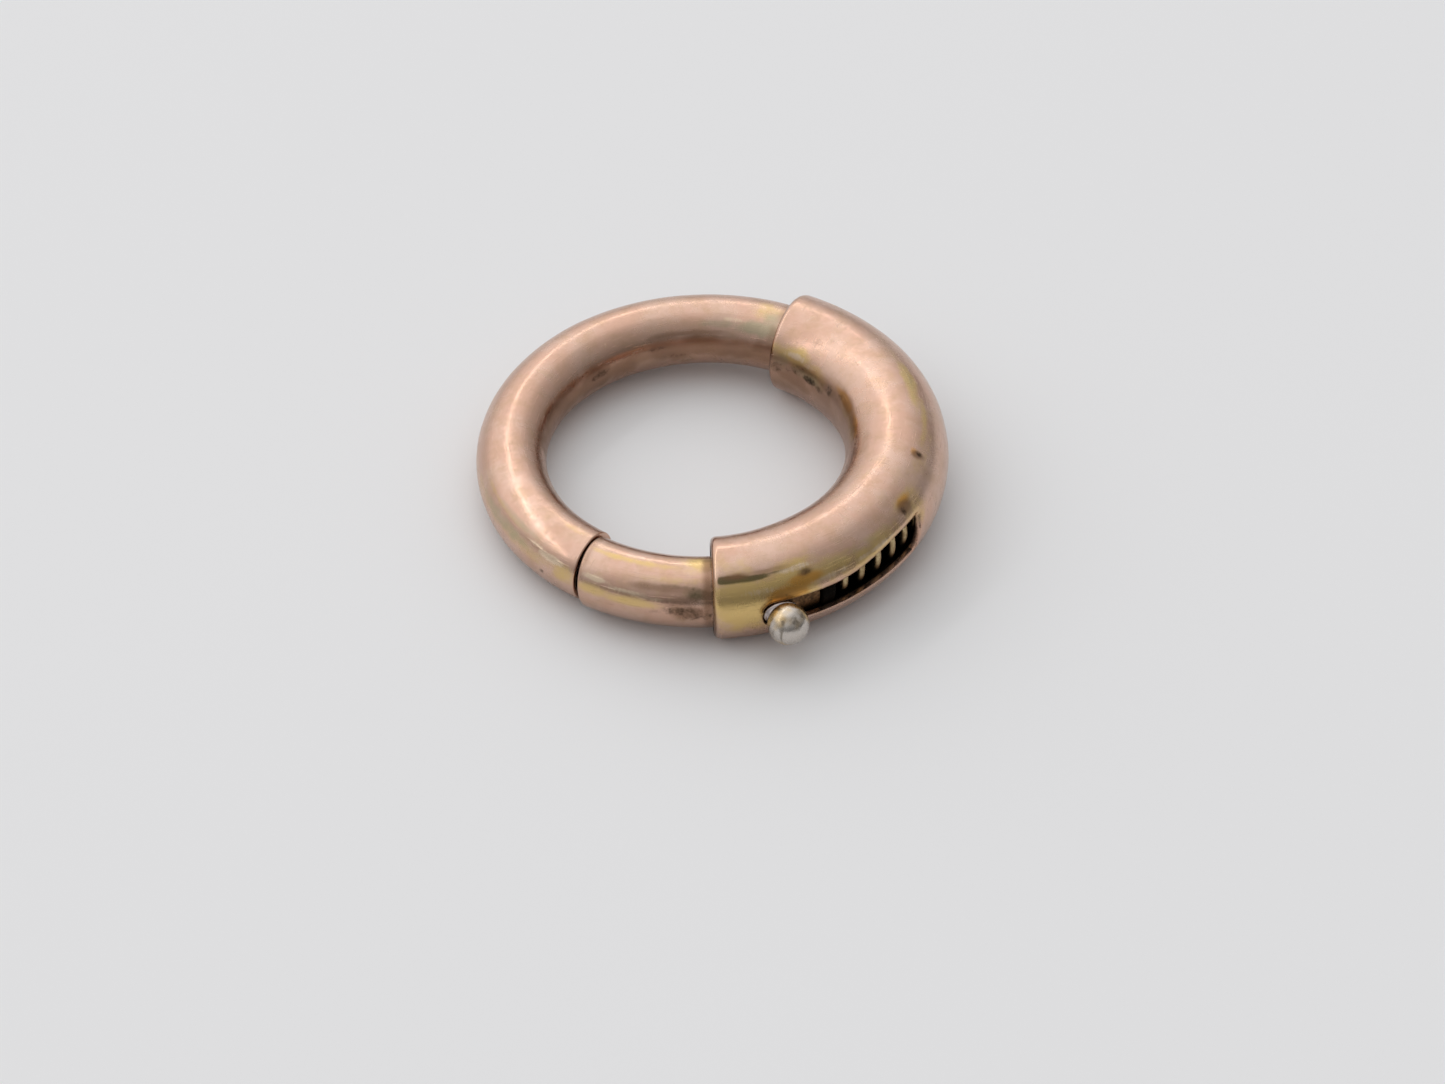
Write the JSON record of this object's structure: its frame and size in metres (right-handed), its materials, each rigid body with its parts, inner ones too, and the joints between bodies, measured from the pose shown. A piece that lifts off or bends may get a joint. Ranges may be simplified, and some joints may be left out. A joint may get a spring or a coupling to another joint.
{
  "type": "bolt ring clasp",
  "caption": "Round jewellery clasp: a fixed bow tube, a wider slotted barrel, and a sprung bolt drawn back into the barrel by a ball knob.",
  "frame": {"origin": "centre of the eye, on the mid-plane of the ring", "axes": "+Z along the ring's axis; +X towards the middle of the barrel; the knob is on the -Y side and the bolt draws back anticlockwise seen from +Z"},
  "size_m": [0.022, 0.023, 0.0048],
  "materials": {
    "barrel_gold": "worn satin rose gold",
    "bow_gold": "worn satin rose gold",
    "bolt_gold": "worn satin rose gold",
    "bush_gold": "dull rose gold",
    "spring_wire": "drawn wire",
    "stem_metal": "dull pale gold",
    "knob_metal": "polished pale gold"
  },
  "bodies": {
    "ring": {"barrel": "barrel_gold", "mouth_bush": "bush_gold", "heel_bush": "bush_gold", "bow_tube": "bow_gold", "bow_stop": "bush_gold", "spring": "spring_wire"},
    "bolt": {"bolt_tube": "bolt_gold", "bolt_nose": "bolt_gold", "bolt_tail": "bush_gold", "knob_stem": "stem_metal", "knob_ball": "knob_metal"}
  },
  "joints": [
    {"name": "bolt_draw", "type": "hinge", "parent": "ring", "child": "bolt", "pos_m": [0, 0, 0], "axis": [0, 0, 1], "range_deg": [0, 35], "stiffness_Nm_per_rad": 0.01, "springref_deg": -6.88, "deforming": ["spring"]}
  ]
}
